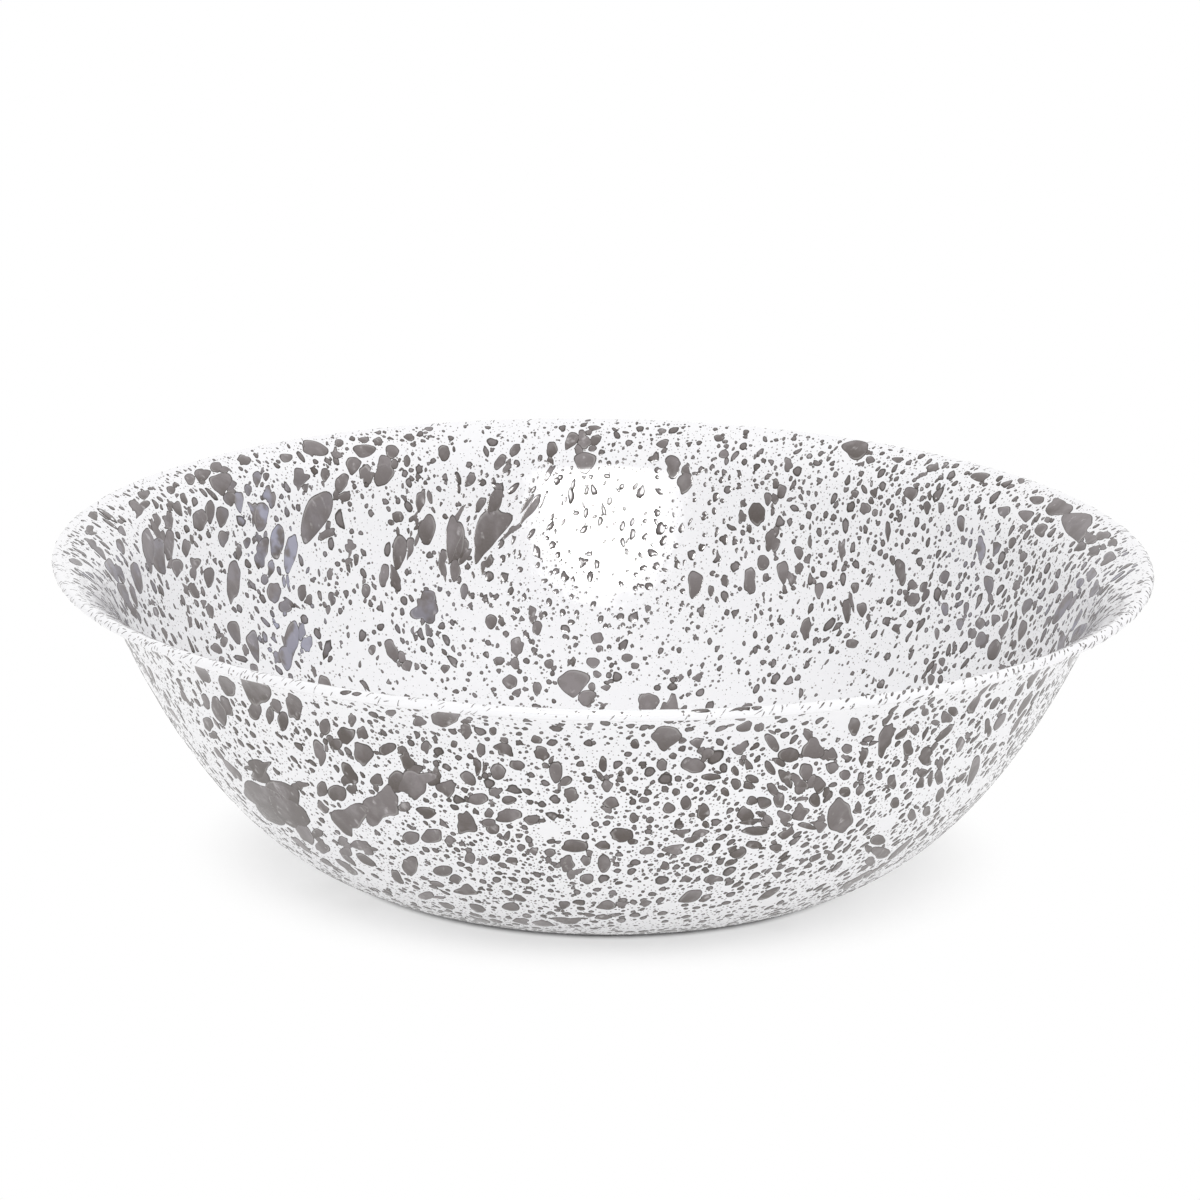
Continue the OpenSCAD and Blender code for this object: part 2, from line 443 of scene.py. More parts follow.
def spread(drops, share, angle):
    """Points of each drop, as metres up the face and round it. share is (n, rings), how far out
    each ring lies, and angle (points). A round is swollen by waves of one to nine to the turn,
    drawn in towards one end by its taper, bowed by its bend, and carried by its stretch."""
    turn = angle[None, :, None] * waves + drops.phase[:, None, :]
    swell = 1 + (drops.swell[:, None, :] * np.cos(turn)).sum(-1)
    up = share[:, :, None] * (swell * np.cos(angle))[:, None, :]
    aside = share[:, :, None] * (swell * np.sin(angle))[:, None, :]
    aside = aside * (1 + drops.taper[:, None, None] * up)
    aside = aside + drops.bend[:, None, None] * (up * up - 0.3)
    move = drops.stretch[:, None, None, :, :]
    return (move[..., 0, 0] * up + move[..., 0, 1] * aside,
            move[..., 1, 0] * up + move[..., 1, 1] * aside)


def laid(face, travel, azimuth, up, aside):
    """Travel and azimuth of points up the face and aside from a place. A step aside is straight,
    so on the cone that touches the face there it climbs as its distance from the centre line
    grows."""
    radius, _, heading = face.at(travel)
    radius = radius + up * np.cos(heading)
    climbed = travel + up + (np.hypot(radius, aside) - radius) * np.cos(heading)
    return np.clip(climbed, 0, face.travel[-1]), azimuth + np.arctan2(aside, radius)


def anywhere(face, count, rng):
    """Travel and azimuth of places drawn at random, evenly by area."""
    area = np.concatenate([[0], np.cumsum(np.diff(face.travel) * face.radius[1:])])
    travel = np.interp(rng.random(count) * area[-1], area, face.travel)
    return travel, 2 * math.pi * rng.random(count)


class Tray:
    """Which cells of a face are taken. A row is a band of travel one cell wide, cut into as many
    cells as go round it there. Drops gather round its spots, which are the places of the drops
    that it starts with and as many as asked for at random."""

    def __init__(self, face, first_drops, spot_count, rng):
        self.face = face
        travel, azimuth = anywhere(face, spot_count, rng)
        self.spot_travel = np.concatenate([first_drops.travel, travel])
        self.spot_azimuth = np.concatenate([first_drops.azimuth, azimuth])
        rows = math.ceil(face.travel[-1] / cell)
        radius = face.at(cell * (np.arange(rows) + 0.5))[0]
        self.round = np.maximum(3, np.ceil(2 * math.pi * radius / cell)).astype(np.int64)
        self.first = np.concatenate([[0], np.cumsum(self.round)[:-1]])
        self.taken = np.zeros(self.round.sum(), dtype=np.int32)

    def cells(self, drops, gap, filled=True):
        """The cells that each drop covers with its gap round it, as (n, samples), or only those
        under its edge and under two rings inside it."""
        size = drops.size()
        widest = float((size + gap).max())
        rings = max(2, math.ceil(1.6 * widest / cell))
        points = max(10, math.ceil(2 * math.pi * 1.25 * widest / cell))
        share = np.linspace(0, 1, rings + 1)[1:] if filled else np.array([0.25, 0.6, 1.0])
        up, aside = spread(drops, share[None, :] * (1 + gap / size)[:, None],
                           2 * math.pi * np.arange(points) / points)
        travel, azimuth = laid(self.face, drops.travel[:, None, None],
                               drops.azimuth[:, None, None], up, aside)
        row = np.minimum((travel / cell).astype(np.int64), len(self.round) - 1)
        column = (azimuth / (2 * math.pi) % 1 * self.round[row]).astype(np.int64)
        return (self.first[row] + np.minimum(column, self.round[row] - 1)).reshape(len(drops), -1)

    def take(self, families, gap):
        """Tries to set a batch of families down together. families lists drops and those that
        cling to them, row by row. A family stays if the first drop's cells are free and no
        earlier family of the batch wants them; those that cling may run into neighbours. Returns
        which stay."""
        edges = self.cells(families[0], gap, False)
        stays = np.zeros(len(gap), dtype=bool)
        free = np.flatnonzero(~self.taken[edges].any(axis=1))
        if len(free) == 0:
            return stays
        whole = np.concatenate([self.cells(drops.only(free), gap[free]) for drops in families],
                               axis=1)
        number = np.arange(1, len(free) + 1, dtype=np.int32)
        trial = np.zeros_like(self.taken)
        trial[whole[::-1].ravel()] = np.repeat(number[::-1], whole.shape[1])
        alone = (trial[edges[free]] == number[:, None]).all(axis=1)
        self.taken[whole[alone].ravel()] = 1
        stays[free[alone]] = True
        return stays


# The near half of the rim is the lower half of this ellipse in the photograph
near_rim_middle = (603.8, 562.0)
near_rim_reach = (553.1, 151.6)


def look(face, travel, azimuth):
    """Photo pixel of places on a face, and whether the camera sees them: the face looks towards
    it there, and inside the basin they are above the near half of the rim's ellipse."""
    place = face.point(travel, azimuth, 0.0)
    heading = face.at(travel)[2]
    outward = face.side * np.stack([-np.sin(heading) * np.cos(azimuth),
                                    -np.sin(heading) * np.sin(azimuth),
                                    np.cos(heading)], axis=-1)
    px, py = photo_pixel(place.reshape(-1, 3))
    px, py = px.reshape(travel.shape), py.reshape(travel.shape)
    seen = ((camera_place - place) * outward).sum(-1) > 0
    if face.side > 0:
        across_rim = np.clip((px - near_rim_middle[0]) / near_rim_reach[0], -1, 1)
        seen &= py < near_rim_middle[1] + near_rim_reach[1] * np.sqrt(1 - across_rim ** 2)
    return px, py, seen


def guided(table, px, py, reach=75.0):
    """A value read off a table of (px, py, value), each entry counting less with its
    distance."""
    across_px, down_px, value = np.array(table, dtype=float).T
    apart = (px[..., None] - across_px) ** 2 + (py[..., None] - down_px) ** 2
    weight = np.exp(-apart / (2 * reach ** 2)) + 1e-9
    return (weight * value).sum(-1) / weight.sum(-1)


# How thickly the drops lie in view, as a share of an even cover: px, py, share
inside_cover = [
    (90, 590, 3.4), (150, 520, 3.0), (250, 480, 1.9), (250, 600, 1.4), (340, 560, 0.6),
    (400, 470, 1.2), (440, 600, 0.8), (480, 520, 1.1), (520, 650, 0.65), (620, 660, 0.6),
    (720, 640, 0.8), (600, 450, 1.2), (690, 480, 1.1), (790, 480, 1.7), (800, 620, 1.3),
    (880, 560, 1.7), (950, 480, 1.6), (950, 620, 1.9), (1050, 540, 3.4), (1120, 600, 3.6),
]
outside_cover = [
    (150, 720, 3.0), (280, 780, 1.1), (400, 820, 1.2), (520, 760, 1.8), (620, 820, 2.2),
    (720, 780, 2.1), (820, 780, 2.5), (920, 760, 2.5), (1020, 700, 3.2), (600, 900, 2.3),
    (400, 880, 2.0), (800, 880, 2.0),
]
# Which way the drops lie in view, in degrees to the right of straight up: px, py, lean
inside_lean = [
    (90, 590, -30), (160, 560, -12), (220, 490, -8), (240, 600, -4), (300, 520, 20),
    (330, 470, 24), (400, 550, 12), (450, 480, 24), (520, 500, 32), (560, 460, 34),
    (620, 460, 15), (690, 470, -12), (800, 480, -4), (900, 560, -6), (1000, 600, 10),
    (1050, 600, 24), (1110, 570, 38), (600, 650, 6),
]
outside_lean = [
    (150, 720, -6), (230, 720, -14), (280, 780, -14), (400, 820, -10), (520, 760, 0),
    (620, 820, 5), (720, 780, 25), (800, 780, 40), (880, 790, 25), (920, 760, 14),
    (1020, 700, 8),
]
# How much longer than wide the drops are in view: px, py, extra length as a share of the width
inside_slender = [
    (90, 600, 1.4), (160, 550, 1.6), (230, 480, 1.4), (240, 600, 2.2), (300, 520, 1.8),
    (400, 470, 1.3), (400, 560, 1.6), (520, 490, 2.0), (620, 440, 0.9), (540, 640, 0.6),
    (640, 660, 0.4), (720, 600, 1.2), (800, 480, 1.2), (800, 580, 1.8), (950, 480, 1.2),
    (950, 600, 1.6), (1060, 540, 0.9), (1100, 600, 1.1),
]
outside_slender = [
    (140, 680, 1.2), (170, 740, 1.2), (230, 720, 1.2), (300, 780, 0.9), (400, 820, 0.6),
    (560, 780, 0.5), (620, 880, 0.6), (720, 780, 0.8), (820, 780, 1.4), (900, 760, 1.2),
    (960, 740, 1.1), (1040, 700, 0.9),
]
# How broad the drops are in view, as a share of their usual width: px, py, share
inside_broad = [
    (110, 570, 1.3), (180, 540, 1.1), (300, 520, 1.0), (620, 600, 0.95), (800, 540, 1.0),
    (900, 560, 0.95), (1000, 560, 1.0), (1100, 580, 1.35),
]
outside_broad = [
    (150, 720, 1.0), (300, 780, 1.0), (820, 780, 1.1), (930, 760, 1.0), (1020, 700, 0.95),
]
# Where a painted blue reflection lies on the glass in view: px, py, reach px, strength
inside_painted_reflection = [
    (262, 515, 22, 1.0), (275, 555, 26, 1.0), (292, 560, 18, 0.8), (288, 635, 26, 0.9),
    (100, 610, 34, 0.7), (130, 570, 24, 0.5), (975, 550, 24, 0.7), (958, 600, 26, 0.4),
    (1085, 615, 34, 0.7), (1125, 575, 24, 0.5), (430, 610, 26, 0.3),
]


def painted_reflection(face, px, py, seen):
    """How strong the painted blue reflection is at places in view: the strongest of the table's
    spots there.
    """
    if face.side < 0:
        return np.zeros_like(px)
    across_px, down_px, reach, strength = np.array(inside_painted_reflection, dtype=float).T
    apart = (px[..., None] - across_px) ** 2 + (py[..., None] - down_px) ** 2
    return np.where(seen, (strength * np.exp(-apart / (2 * reach ** 2))).max(-1), 0.0)


def drift(place, size, seed):
    """Slow noise over space, about -1 to 1: seven waves of a given size in metres, each with its
    own direction and start."""
    draw = np.random.default_rng(seed)
    way = draw.normal(0, 1, (7, 3))
    way = way / np.linalg.norm(way, axis=1)[:, None]
    pace = 2 * math.pi / (size * draw.uniform(0.7, 1.6, 7))
    return np.sin((place @ way.T) * pace + draw.uniform(0, 2 * math.pi, 7)).sum(-1) / 2.2


def habits(face, travel, azimuth):
    """How drops lie at places: how thickly, as a share of an even cover, which way, in radians
    towards growing azimuth from straight up the wall, how slender, how broad, how strong a painted
    blue reflection is on them, and whether the camera sees them. In view the tables say so, and
    elsewhere slow waves do. Patches some 30 mm across are thick or bare."""
    px, py, seen = look(face, travel, azimuth)
    place = face.point(travel, azimuth, 0.0)
    inner = face.side > 0
    patch = np.clip(0.9 + 0.35 * drift(place, 30 * mm, 5 if inner else 6), 0.3, 1.2)
    thick = np.where(seen, guided(inside_cover if inner else outside_cover, px, py, 50.0), 1.1)
    lean = np.where(seen, guided(inside_lean if inner else outside_lean, px, py),
                    20 * drift(place, 120 * mm, 7))
    slender = guided(inside_slender if inner else outside_slender, px, py, 50.0)
    slender = np.where(seen, slender, 0.8 + 0.4 * drift(place, 90 * mm, 8))
    broad = np.where(seen, guided(inside_broad if inner else outside_broad, px, py), 1.0)
    blue = painted_reflection(face, px, py, seen)
    return (thick * patch, -np.radians(lean) * np.sin(azimuth), np.clip(slender, 0.1, 3.5), broad,
            blue, seen)


def square(a, b, c, d):
    """Two-by-two matrices of four columns: a and b above c and d."""
    return np.stack([np.stack([a, b], -1), np.stack([c, d], -1)], -2)


def shaped(length, width, lean):
    """The stretch of a drop of a length and width that leans from straight up."""
    return square(length / 2 * np.cos(lean), -width / 2 * np.sin(lean),
                  length / 2 * np.sin(lean), width / 2 * np.cos(lean))


def character(blue, rng):
    """Taper, bend, waves and tone drawn for drops with a painted blue reflection of given strength:
    under half are smooth, a third are wavier and the rest ragged. Three in five are drawn in at an
    end, and two in five are bowed as well."""
    count = len(blue)
    kind = rng.random(count)
    rough = np.where(kind < 0.45, 0.6, np.where(kind < 0.8, 1.0, 1.7))
    return {"taper": np.where(kind > 0.4, rng.uniform(-0.5, 0.5, count),
                              rng.uniform(-0.2, 0.2, count)),
            "bend": np.where(kind > 0.6, rng.normal(0, 0.25, count), rng.normal(0, 0.08, count)),
            "swell": rng.normal(0, 1, (count, len(waves))) * rough[:, None] * wave_shares,
            "phase": 2 * math.pi * rng.random((count, len(waves))),
            "tone": rng.normal(0, 1, count), "rise": rng.uniform(0.96, 1.04, count),
            "blue": blue * rng.uniform(0.3, 1.0, count)}


gather_reach = np.array([4, 7, 11]) * mm


def gathered(tray, count, share, rng):
    """Travel and azimuth of places of which a share lies round the tray's spots, further off up
    and down the wall than to the sides, and the rest anywhere."""
    travel, azimuth = anywhere(tray.face, count, rng)
    spot = rng.integers(len(tray.spot_travel), size=count)
    away = rng.normal(0, 1, (2, count)) * rng.choice(gather_reach, count)
    near_travel, near_azimuth = laid(tray.face, tray.spot_travel[spot], tray.spot_azimuth[spot],
                                     away[0], 0.6 * away[1])
    near = rng.random(count) < share
    return np.where(near, near_travel, travel), np.where(near, near_azimuth, azimuth)


def fresh(face, travel, azimuth, least, most, rng):
    """Drops at places, whose width runs from least to most with many more narrow than broad,
    how thickly they lie there, and whether the camera sees each."""
    count = len(travel)
    thick, lean, slender, broad, blue, seen = habits(face, travel, azimuth)
    width = broad * least * (most / least) ** (rng.random(count) ** 1.5)
    length = width * (1 + slender * rng.random(count) ** 1.3)
    lean = lean + rng.normal(0, math.radians(18), count) + np.where(
        rng.random(count) < 0.22 / (0.3 + slender), rng.uniform(-1.5, 1.5, count), 0)
    drops = Drops(travel=travel, azimuth=azimuth, stretch=shaped(length, width, lean),
                  **character(blue, rng))
    return drops, thick, seen


def offshoot(face, parents, rng, likely):
    """A smaller drop that landed by each parent. Two in five ran together with it, with the
    middle less than their own radius outside its edge, and the rest lie a hair away from it.
    Returns them, row by row, and which are really there."""
    count = len(parents)
    there = rng.random(count) < likely
    shrink = np.where(there, rng.uniform(0.3, 0.8, count), 0.1)
    angle = math.pi * rng.integers(0, 2, count) + rng.normal(0, 1.1, count)
    turn = angle[:, None] * waves + parents.phase
    merged = rng.random(count) < 0.4
    away = np.where(merged, rng.uniform(0.2, 0.9, count), rng.uniform(1.08, 1.4, count))
    reach = 1 + (parents.swell * np.cos(turn)).sum(-1) + shrink * away
    spot = np.stack([reach * np.cos(angle), reach * np.sin(angle)], -1)[..., None]
    move = (parents.stretch @ spot)[..., 0]
    travel, azimuth = laid(face, parents.travel, parents.azimuth, move[:, 0], move[:, 1])
    swing = rng.normal(0, 0.3, count)
    turned_by = square(np.cos(swing), -np.sin(swing), np.sin(swing), np.cos(swing))
    own = character(parents.blue, rng)
    own["tone"] = parents.tone + rng.normal(0, 0.4, count)
    return Drops(travel=np.where(there, travel, parents.travel),
                 azimuth=np.where(there, azimuth, parents.azimuth),
                 stretch=turned_by @ parents.stretch * shrink[:, None, None], **own), there


# Each round tries some drops for each one that is missing. The cover that keeps every try is
# the thickest, and neighbours lie up to this many mm apart or run this far together
least_tries, tries_each, most_rounds = 800, 4.2, 9
thickest = 2.5
gap_mm = 0.16


def scattered(tray, count, least, most, gather, in_view, likely, rng):
    """Drops set down at random until there are enough or the rounds are over. gather is the
    share of them that lies round the tray's spots, in_view the share that is kept where the
    camera looks, and likely the chance of each of three offshoots, the last of which clings to
    the first. Neighbours leave a hair of white between them or just touch. Returns the drops
    and their offshoots."""
    kept, clinging, total = [], [], 0
    for _ in range(most_rounds):
        if total >= count:
            break
        tries = max(least_tries, int(tries_each * (count - total)))
        travel, azimuth = gathered(tray, tries, gather, rng)
        batch, thick, seen = fresh(tray.face, travel, azimuth, least, most, rng)
        batch = batch.only(rng.random(len(batch)) * thickest < thick * np.where(seen, in_view, 1.0))
        families, present = [batch], []
        if likely > 0:
            for step in range(3):
                parents = families[1 if step == 2 else 0]
                young, there = offshoot(tray.face, parents, rng, likely)
                if step == 2:
                    there &= present[0]
                families.append(young)
                present.append(there)
        gap = np.minimum(rng.uniform(-gap_mm, gap_mm, len(batch)) * mm, 0.2 * batch.size())
        stays = tray.take(families, gap)
        stays &= np.cumsum(stays) <= count - total
        kept.append(batch.only(stays))
        clinging += [young.only(stays & there) for young, there in zip(families[1:], present)]
        total += int(stays.sum())
    return Drops.joined(kept + clinging)


grid_rows, grid_columns, newton_steps = 260, 900, 6
less_blur = 0.97


def pinned(face, table, rng):
    """Drops of a table of (px, py, width px, height px, lean in degrees to the right).
    The place nearest to the pixel is found on a grid over the face and then bettered by
    Newton's steps, and the inverse of the same slopes carries the drop's shape to the face.
    The typed sizes take in a little blur at the drop's edge."""
    px, py, width, height, lean = np.array(table, dtype=float).T
    grid_travel = np.linspace(0, face.travel[-1], grid_rows)[:, None]
    grid_azimuth = np.linspace(-math.pi, math.pi, grid_columns)[None, :]
    grid_travel, grid_azimuth = np.broadcast_arrays(grid_travel, grid_azimuth)
    grid_px, grid_py, seen = look(face, grid_travel, grid_azimuth)
    open_px, open_py = grid_px[seen], grid_py[seen]
    nearest = np.argmin((px[:, None] - open_px) ** 2 + (py[:, None] - open_py) ** 2, axis=1)
    travel, azimuth = grid_travel[seen][nearest], grid_azimuth[seen][nearest]
    step = 0.2 * mm
    for _ in range(newton_steps):
        here = np.stack(look(face, travel, azimuth)[:2], -1)
        above = np.stack(look(face, *laid(face, travel, azimuth, step, 0.0))[:2], -1)
        beside = np.stack(look(face, *laid(face, travel, azimuth, 0.0, step))[:2], -1)
        slopes = np.stack([(above - here) / step, (beside - here) / step], axis=-1)
        missing = np.linalg.solve(slopes, (np.stack([px, py], -1) - here)[..., None])[..., 0]
        missing = np.clip(missing, -4 * mm, 4 * mm)
        travel, azimuth = laid(face, travel, azimuth, missing[:, 0], missing[:, 1])
    tilt = np.radians(lean)
    width, height = less_blur * width, less_blur * height
    shape_px = square(height / 2 * np.sin(tilt), width / 2 * np.cos(tilt),
                      -height / 2 * np.cos(tilt), width / 2 * np.sin(tilt))
    own = character(painted_reflection(face, px, py, np.full(len(px), True)), rng)
    own["swell"] = own["swell"] * 0.8
    if face.side > 0:
        own["taper"] = rng.uniform(0.0, 0.55, len(px))
    return Drops(travel=travel, azimuth=azimuth, stretch=np.linalg.solve(slopes, shape_px), **own)


# What the first rings have from the edge inwards, those further in having 0, and what the point
# on top has. A flat foot reaches this many radii out, and drops inside are painted lighter by this
# tone, a painted sheen
edge_marks = [1.0, 0.85]
glint_marks = [0.0, 0.5, 1.0]
middle_mark = -0.5
foot_reach = 1.4
inner_painted_sheen = 1.3


def drop_solids(name, face, drops, form, rise):
    """Closed lens-shaped solids, one to a drop, of which the small ones stand lower. form is how
    many points go round, the rings from the edge inwards, each as how far in it lies and its
    height as a share of the rise, and how many more lie at full height, evenly from the last
    ring to the middle. A point on top and one below close each drop, the one below deep enough
    that a broad drop's flat foot stays under a hollow face. Points keep how near the edge they
    are, which falls below 0 in the middle so that the dark edge, partly painted shade, is narrow,
    the drop's tone, with a painted sheen added on the inner face, the strength of a painted blue
    reflection, a painted glint of the raised edge, which is most along an arc a little inside one
    side, and how low on the drop they lie, from -1 to 1."""
    points, rings, inner = form
    count, layers = len(drops), len(rings) + inner
    size = drops.size()
    inset = np.array([ring[0] for ring in rings])
    high = np.array([ring[1] for ring in rings] + [1.0] * inner)
    share = 1 - np.minimum(inset[None, :] / size[:, None],
                           0.8 * np.arange(len(rings))[None, :] / len(rings))
    inward = 1 - np.arange(1, inner + 1) / (inner + 1)
    share = np.concatenate([share, share[:, -1:] * inward], axis=1)
    angle = 2 * math.pi * np.arange(points) / points
    up, aside = spread(drops, share, angle)
    middle_up, middle_aside = spread(drops, np.zeros((count, 1)), np.zeros(1))
    up = np.concatenate([up.reshape(count, -1), middle_up[:, 0], middle_up[:, 0]], axis=1)
    aside = np.concatenate([aside.reshape(count, -1), middle_aside[:, 0], middle_aside[:, 0]],
                           axis=1)
    own_rise = (rise * drops.rise * np.clip(0.55 + 0.09 * size / mm, 0, 1))[:, None]
    foot_lift = -np.maximum(drop_sunk, (foot_reach * size) ** 2 / (4 * flare_r) - drop_sunk)
    ring_lift = np.where(high > 0, own_rise * high, -drop_sunk)
    lift = np.concatenate([np.repeat(ring_lift, points, axis=1), own_rise, foot_lift[:, None]],
                          axis=1)
    travel, azimuth = laid(face, drops.travel[:, None], drops.azimuth[:, None], up, aside)
    place = face.point(travel, azimuth, lift)
    # A painted glint of the raised edge: paler along an arc a little inside one side of each drop
    facing = np.cos(angle[None, :] - drops.phase[:, :1] - 0.4)
    glint_arc = 0.3 + 0.7 * np.clip(1.6 * facing - 0.6, 0, 1)
    painted_glint = np.concatenate([glint_arc * weight for weight in (glint_marks + [0.0] * layers)[:layers]]
                          + [np.zeros((count, 2))], axis=1)
    fall = -up / np.abs(up).max(axis=1)[:, None]
    near_edge = np.concatenate([np.repeat((edge_marks + [0.0] * layers)[:layers], points),
                                [0.0 if layers == 1 else middle_mark, 1.0]])
    base = np.arange(count)[:, None, None] * (layers * points + 2)
    this = np.arange(points)
    following = np.roll(this, -1)
    top, foot = np.full(points, layers * points), np.full(points, layers * points + 1)
    pattern = [np.stack([foot, following, this], -1)]
    for layer in range(layers - 1):
        low, high_row = layer * points, (layer + 1) * points
        pattern += [np.stack([low + this, low + following, high_row + following], -1),
                    np.stack([low + this, high_row + following, high_row + this], -1)]
    last = (layers - 1) * points
    pattern = np.concatenate(pattern + [np.stack([last + this, last + following, top], -1)])
    if face.side < 0:
        pattern = pattern[:, ::-1]
    columns = layers * points + 2
    # Drops on the inner face are painted lighter for the sheen on them
    tone_and_sheen = drops.tone[:, None] + (inner_painted_sheen if face.side > 0 else 0.0)
    marks = {"edge": np.broadcast_to(near_edge, (count, columns)), "painted_glint": painted_glint, "fall": fall,
             "tone": np.broadcast_to(tone_and_sheen, (count, columns)),
             "blue": np.broadcast_to(drops.blue[:, None], (count, columns))}
    return solid_of(name, place.reshape(-1, 3), (pattern[None] + base).reshape(-1, 3), marks)


grey = Finish("grey_glass")


def mark(name):
    """A number kept at the drops' points."""
    return grey.value(grey.node("ShaderNodeAttribute", {"attribute_name": name}), "Fac")


grey_tone = (0.104, 0.088, 0.08, 1)
grey_light = (0.24, 0.218, 0.22, 1)
grey_edge_and_shade = (0.046, 0.039, 0.034, 1)
grey_glint = (0.37, 0.355, 0.345, 1)
grey_pale = (0.52, 0.5, 0.5, 1)
grey_reflected_blue = (0.42, 0.43, 0.55, 1)
smoke_place = grey.node("ShaderNodeMapping", None, {"Vector": grey.place, "Scale": (1, 1, 0.45)})
smoke = grey.steps(grey.noise(6 * mm, 3, smoke_place.outputs[0]), 0.42, 0.72)
grain = grey.noise(0.8 * mm, 2)
# The tone mark holds each drop's own tone and, on the inner face, a painted sheen
lightness = 0.28 + 0.15 * mark("tone") + 0.5 * smoke - 0.3 * mark("fall") + 0.3 * (grain - 0.5)
body = grey.mixed(lightness, grey_tone, grey_light)
# The painted glint: paler glass along an arc a little inside one side of each drop
body = grey.mixed(grey.steps(mark("painted_glint"), 0.3, 1.0) * 0.55, body, grey_glint)
streak = grey.steps(grey.noise(3.2 * mm, 3, smoke_place.outputs[0]), 0.6, 0.78)
body = grey.mixed(0.65 * streak, body, grey_pale)
# A painted blue reflection, in patches, where the reflection table puts it
reflection_patches = grey.steps(grey.noise(7 * mm, 2), 0.38, 0.6)
body = grey.mixed(mark("blue") * reflection_patches, body, grey_reflected_blue)
# Dark round the edge: partly the glass's own colour, partly painted shade of the steep edge
body = grey.mixed(grey.steps(mark("edge"), 0.25, 0.8) * 0.9, body, grey_edge_and_shade)
grey.surface({"Specular IOR Level": 0.28},
             {"Base Color": body, "Roughness": 0.06 + 0.08 * grain, "Normal": ripple(grey)})


def splatter(name, face, drops, form, node_name, rise=drop_rise):
    """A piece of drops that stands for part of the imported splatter."""
    piece = drop_solids(name, face, drops, form, rise)
    dress(piece, grey)
    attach(piece, "root")
    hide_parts(node_name)


drop_rings = [(0, 0), (0.3 * mm, 0.75), (0.8 * mm, 0.97)]
small_rings = [(0, 0), (0.28 * mm, 0.92)]
broad_form = (32, drop_rings, 3)
spot_count = 330
# The white kept round a drop of the tables, the chance that a smaller one clings to it, and the
# least radius of that
marked_gap, marked_likely, least_clinging = 0.12 * mm, 0.35, 0.9 * mm
# Kinds of drop: name, share that lies round the spots, chance of an offshoot, form
kinds = [("drops", 0.6, 0.6, (24, drop_rings, 1)), ("mid_drops", 0.6, 0.45, (14, small_rings, 0)),
         ("small_drops", 0.5, 0.22, (10, small_rings, 0)), ("spots", 0.4, 0.0, (7, [(0, 0)], 0)),
         ("dots", 0.4, 0.0, (5, [(0, 0)], 0))]


def begun(face, table, bare, end, blots, rng):
    """What a face's splatter begins with: the drops of a given table, the smaller ones that
    cling to them up to an end of travel, and broad blots out of view. blots says how many, and
    their least and most width in mm. No blot or later drop lies where bare, a test of travel,
    is true. Returns the tray and the three kinds of drop."""
    marked = pinned(face, table, rng)
    tray = Tray(face, marked, spot_count, rng)
    tray.taken[tray.cells(marked, np.full(len(marked), marked_gap))] = 1
    tray.taken[bare(np.repeat(cell * (np.arange(len(tray.round)) + 0.5), tray.round))] = 1
    clinging = []
    for _ in range(3):
        young, there = offshoot(face, marked, rng, marked_likely)
        there = there & (young.size() > least_clinging) & (young.travel <= end)
        clinging.append(young.only(there))
    count, least, most = blots
    broad = scattered(tray, count, least * mm, most * mm, gather=0.6, in_view=0.0, likely=0.5,
                      rng=rng)
    return tray, marked, Drops.joined(clinging), broad


def sprinkle(side, tray, sizes, node_name, rng):
    """Pieces of random drops, one to each kind, from the largest to the smallest. sizes lists
    how many, from what to what width in mm, and the share that is kept in view."""
    for (name, gather, likely, form), (count, least, most, in_view) in zip(kinds, sizes):
        batch = scattered(tray, count, least * mm, most * mm, gather, in_view, likely, rng)
        splatter(side + "_" + name, tray.face, batch, form, node_name)


